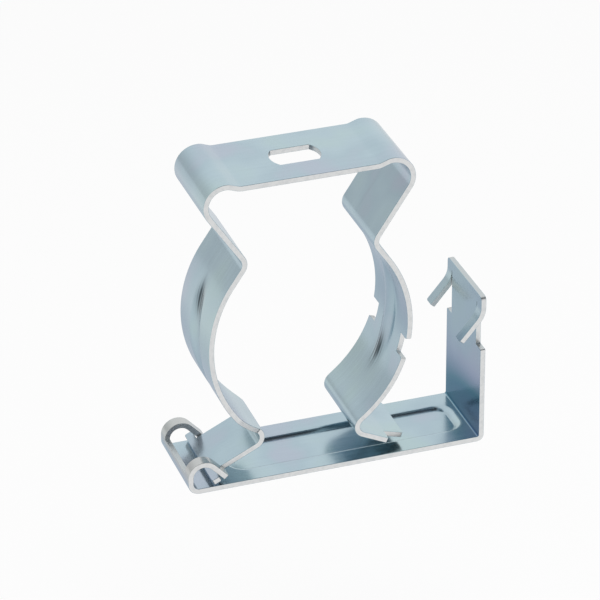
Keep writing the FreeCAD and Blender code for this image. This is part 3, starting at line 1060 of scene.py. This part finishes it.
@dataclass(frozen=True)
class Studio:
    """Plain pale floor, soft light all round, and the camera at the photograph's angle."""

    azimuth: float = -18.693
    elevation: float = 29.124
    roll: float = -0.52
    target: Triple = (0.873, 0.0, -34.701)
    distance: float = 722.7
    lens: float = 204.3
    sensor: float = 36.0
    clip_range_m: Pair = (0.01, 100.0)
    floor_half_size: float = 6000.0
    floor_colour: str = "#FAFAFA"
    floor_glow: float = 0.85
    # Patch of floor behind the clip that mirrors see shaded, with its inner and outer reach.
    floor_shade: str = "#CBD3DE"
    shade_middle: Pair = (20.0, 140.0)
    shade_reach: Pair = (40.0, 220.0)
    # Room that mirrors see: brightest above and to one side, and unlit in a cone above the camera.
    mirror_strength: float = 1.07
    horizon_share: float = 0.7
    bright_side: Triple = (0.6, 0.0, 1.0)
    bright_span: Pair = (-0.3, 0.6)
    shade_colour: str = "#3C4248"
    shade_side: Triple = (0.1, -0.55, 0.83)
    shade_cone: Pair = (0.72, 0.95)
    ambient_strength: float = 0.55
    sky_colour: str = "#FFFFFF"
    lamp_power: float = 4.0
    lamp_size: float = 600.0
    lamp_place: Triple = (60.0, -150.0, 850.0)

    def floor(self, level: float) -> None:
        """Lays the floor of matt white paper, which glows a little to the camera and to mirrors.

        Args:
            level: height of the floor in metres.
        """
        half = self.floor_half_size * MM
        corner = np.array([(-1, -1), (1, -1), (1, 1), (-1, 1)]) * half
        points = np.column_stack([corner, np.full(4, level)])
        mesh = bpy.data.meshes.new("studio_floor")
        mesh.from_pydata(points, [], [(0, 1, 2, 3)])
        material = bpy.data.materials.new("matt_white_paper")
        add = node_adder(material)
        paper = add("BsdfDiffuse", {}, {"Color": linear(self.floor_colour), "Roughness": 0.0})
        path = add("LightPath")
        place = add("TexCoord")
        behind = add("VectorMath", {"operation": "DISTANCE"}, {
            0: place.outputs["Object"], 1: (self.shade_middle[0] * MM, self.shade_middle[1] * MM, level)})
        shaded = add("MapRange", {"interpolation_type": "SMOOTHSTEP"}, {
            "Value": behind, "From Min": self.shade_reach[0] * MM, "From Max": self.shade_reach[1] * MM})
        lit = add("Math", {"operation": "MAXIMUM"}, {0: path.outputs["Is Camera Ray"], 1: shaded})
        tone = add("Mix", {"data_type": "RGBA"}, {
            "Factor": lit, MIX_A: linear(self.floor_shade), MIX_B: linear(self.sky_colour)})
        white = add("Emission", {}, {"Color": tone, "Strength": 1.0})
        looked_at = add("Math", {"operation": "MAXIMUM"}, {
            0: path.outputs["Is Camera Ray"], 1: path.outputs["Is Glossy Ray"]})
        share = add("Math", {"operation": "MULTIPLY"}, {0: looked_at, 1: self.floor_glow})
        both = add("MixShader", {}, {0: share, 1: paper, 2: white})
        add("OutputMaterial", {}, {"Surface": both})
        mesh.materials.append(material)
        floor = bpy.data.objects.new("studio_floor", mesh)
        bpy.context.scene.collection.objects.link(floor)

    def world(self) -> None:
        """Plain white light; mirrors see a white room, duller at the horizon and unlit above the camera."""
        world = bpy.data.worlds.new("studio")
        add = node_adder(world)
        place = add("TexCoord")
        facing = add("VectorMath", {"operation": "DOT_PRODUCT"}, {
            0: place.outputs["Generated"], 1: Vector(self.shade_side).normalized()})
        dim = add("MapRange", {"interpolation_type": "SMOOTHSTEP"}, {
            "Value": facing, "From Min": self.shade_cone[0], "From Max": self.shade_cone[1]})
        room = add("Mix", {"data_type": "RGBA"}, {
            "Factor": dim, MIX_A: linear(self.sky_colour), MIX_B: linear(self.shade_colour)})
        height = add("VectorMath", {"operation": "DOT_PRODUCT"}, {
            0: place.outputs["Generated"], 1: self.bright_side})
        level = add("MapRange", {"interpolation_type": "SMOOTHSTEP"}, {
            "Value": height, "From Min": self.bright_span[0], "From Max": self.bright_span[1],
            "To Min": self.horizon_share * self.mirror_strength, "To Max": self.mirror_strength})
        mirrored = add("Background", {}, {"Color": room, "Strength": level})
        ambient = add("Background", {}, {
            "Color": linear(self.sky_colour), "Strength": self.ambient_strength})
        backdrop = add("Background", {}, {"Color": linear(self.sky_colour), "Strength": 1.0})
        path = add("LightPath")
        unseen = add("MixShader", {}, {0: path.outputs["Is Glossy Ray"], 1: ambient, 2: mirrored})
        seen = add("MixShader", {}, {0: path.outputs["Is Camera Ray"], 1: unseen, 2: backdrop})
        add("OutputWorld", {}, {"Surface": seen})
        bpy.context.scene.world = world

    def lamp(self) -> None:
        """Hangs one soft lamp above and in front, which mirrors do not see."""
        data = bpy.data.lights.new("soft_panel", "AREA")
        data.shape = "DISK"
        data.size = self.lamp_size * MM
        data.energy = self.lamp_power
        lamp = bpy.data.objects.new("soft_panel", data)
        place = Vector(self.lamp_place) * MM
        aim = Vector(self.target) * MM - place
        lamp.matrix_world = Matrix.Translation(place) @ aim.to_track_quat("-Z", "Y").to_matrix().to_4x4()
        lamp.visible_glossy = False
        bpy.context.scene.collection.objects.link(lamp)

    def camera(self) -> None:
        """Sets the camera: azimuth nought looks along +Y, and the roll is about its own axis."""
        a, e, r = (math.radians(x) for x in (self.azimuth, self.elevation, self.roll))
        back = np.array([math.sin(a) * math.cos(e), -math.cos(a) * math.cos(e), math.sin(e)])
        right = np.array([math.cos(a), math.sin(a), 0.0])
        up = np.cross(back, right)
        place = (np.array(self.target) + self.distance * back) * MM
        turned = np.column_stack([math.cos(r) * right + math.sin(r) * up,
                                  math.cos(r) * up - math.sin(r) * right, back, place])
        data = bpy.data.cameras.new("studio_camera")
        data.lens = self.lens
        data.sensor_width = self.sensor
        data.clip_start, data.clip_end = self.clip_range_m
        camera = bpy.data.objects.new("studio_camera", data)
        camera.matrix_world = Matrix(np.vstack([turned, (0, 0, 0, 1)]).tolist())
        bpy.context.scene.collection.objects.link(camera)
        bpy.context.scene.camera = camera

    def build(self, level: float) -> None:
        """Sets up floor, world, lamp, camera and the plain view transform.

        Args:
            level: height of the floor in metres.
        """
        self.floor(level)
        self.world()
        self.lamp()
        self.camera()
        bpy.context.scene.view_settings.view_transform = "Standard"


def main() -> None:
    """Builds both pieces and the studio."""
    logging.basicConfig(level=logging.INFO, format="%(name)s: %(message)s")
    plate = ZincPlate().build()
    edge = ShearedEdge().build()
    clip = SpringClip()
    bar = LockingBar(clip)
    for assembly in (clip, bar):
        piece = assembly.build()
        assembly.dress(piece, plate, edge)
        LOG.info("%s has %d faces before its gauge", piece.name, len(piece.data.polygons))
    Studio().build(bar.swing_low * MM)


if __name__ == "__main__":
    main()
